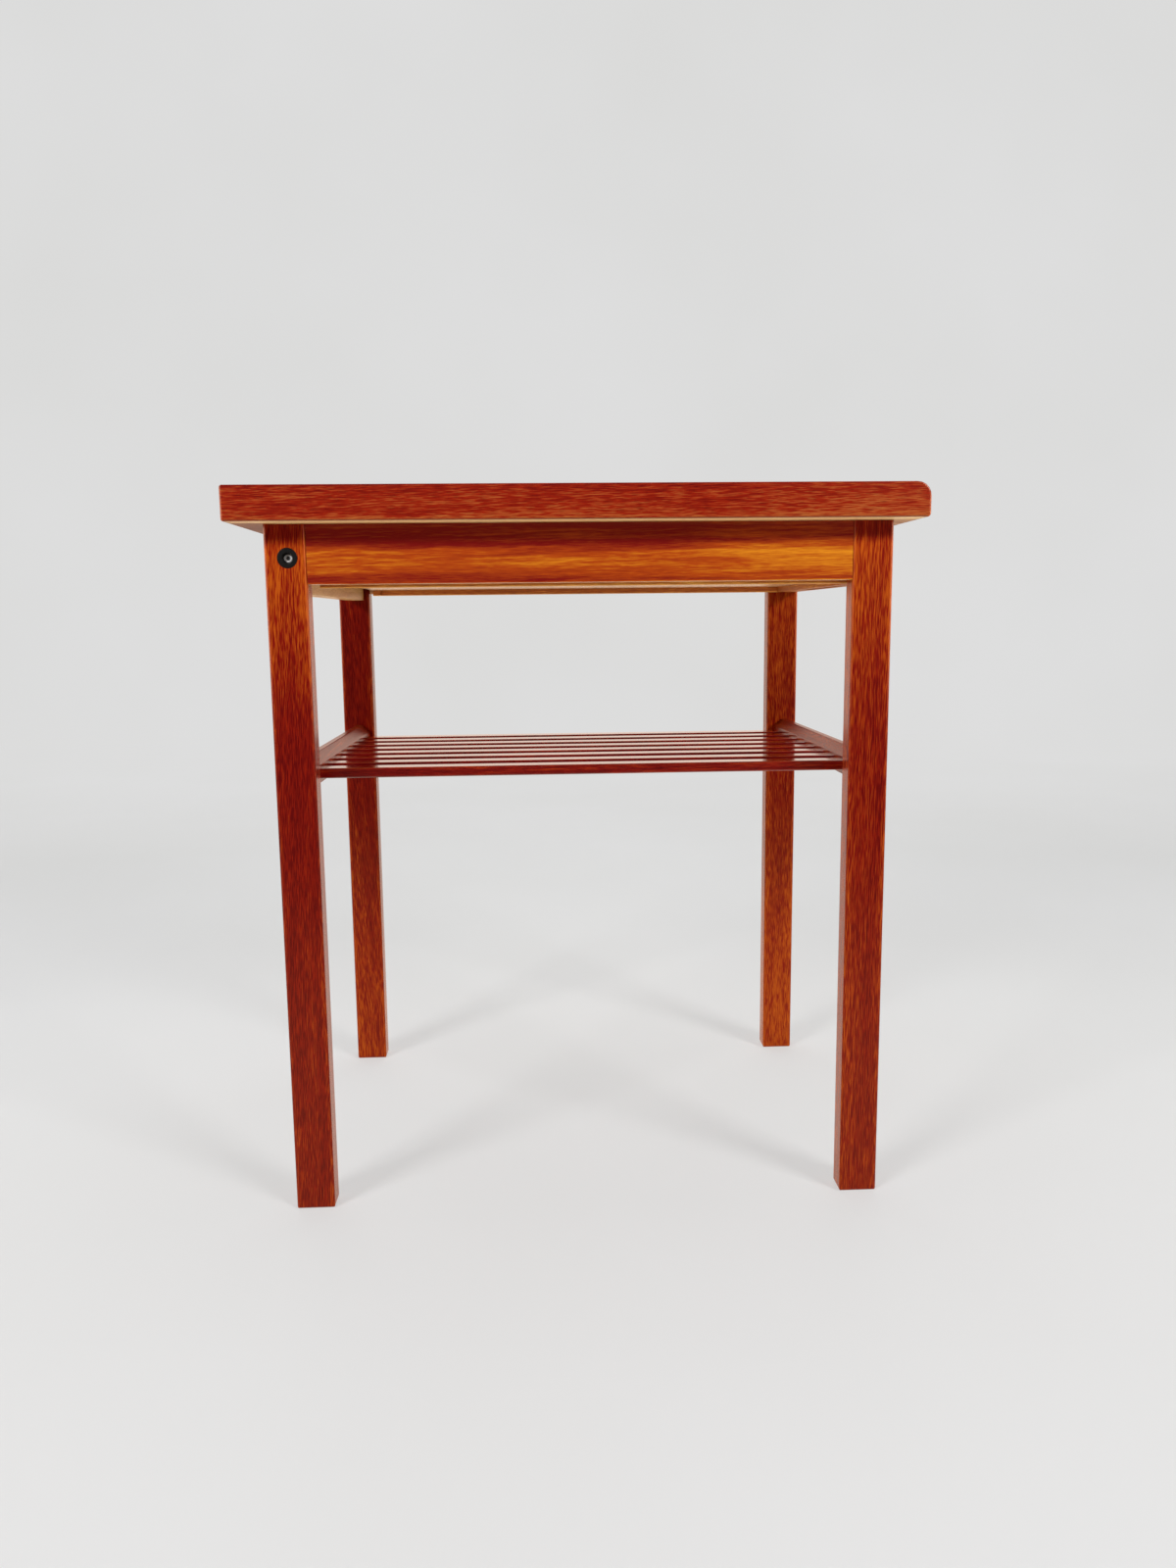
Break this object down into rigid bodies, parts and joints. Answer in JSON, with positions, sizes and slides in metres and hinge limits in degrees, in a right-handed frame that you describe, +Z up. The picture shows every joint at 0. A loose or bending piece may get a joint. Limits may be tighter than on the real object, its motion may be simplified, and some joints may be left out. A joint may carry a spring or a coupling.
{
  "type": "bedside table",
  "caption": "Slim teak bedside table with a lipped top, a shallow end drawer on side runners and a slatted shelf between bevelled rails.",
  "frame": {"origin": "on the floor under the middle of the top", "axes": "+X towards the end where the drawer opens, +Z up, +Y across, away from the side seen in the picture"},
  "size_m": [0.48, 0.36, 0.527],
  "materials": {
    "teak": "satin lacquered red-brown teak",
    "light_wood": "plain light beech",
    "steel": "plain bright steel",
    "black_plastic": "matte black"
  },
  "bodies": {
    "frame": {"top_core": "light_wood", "top_veneer": "teak", "top_underside_veneer": "light_wood", "top_front_lipping": "teak", "top_rear_lipping": "teak", "top_near_lipping": "teak", "top_far_lipping": "teak", "leg_near_rear": "teak", "leg_near_front": "teak", "leg_far_rear": "teak", "leg_far_front": "teak", "side_apron_near": "light_wood", "side_apron_far": "light_wood", "apron_face_near": "teak", "apron_face_far": "teak", "rear_rail": "light_wood", "apron_dowels": "light_wood", "rear_rail_dowels": "light_wood", "top_dowels": "light_wood", "top_screws": "steel", "rail_bolts": "steel", "bolt_cups": "black_plastic", "cross_nuts": "steel", "drawer_runner_near": "light_wood", "drawer_runner_far": "light_wood", "runner_screws": "steel", "shelf_rail_rear": "teak", "shelf_rail_front": "teak", "shelf_slat_1": "teak", "shelf_slat_2": "teak", "shelf_slat_3": "teak", "shelf_slat_4": "teak", "shelf_slat_5": "teak", "shelf_slat_6": "teak", "shelf_slat_7": "teak", "shelf_slat_8": "teak"},
    "drawer": {"drawer_front": "light_wood", "drawer_front_face": "teak", "drawer_side_near": "light_wood", "drawer_side_far": "light_wood", "drawer_back": "light_wood", "drawer_bottom": "light_wood"}
  },
  "joints": [
    {"name": "drawer_slide", "type": "slide", "parent": "frame", "child": "drawer", "axis": [1, 0, 0], "range_m": [0, 0.28]}
  ]
}
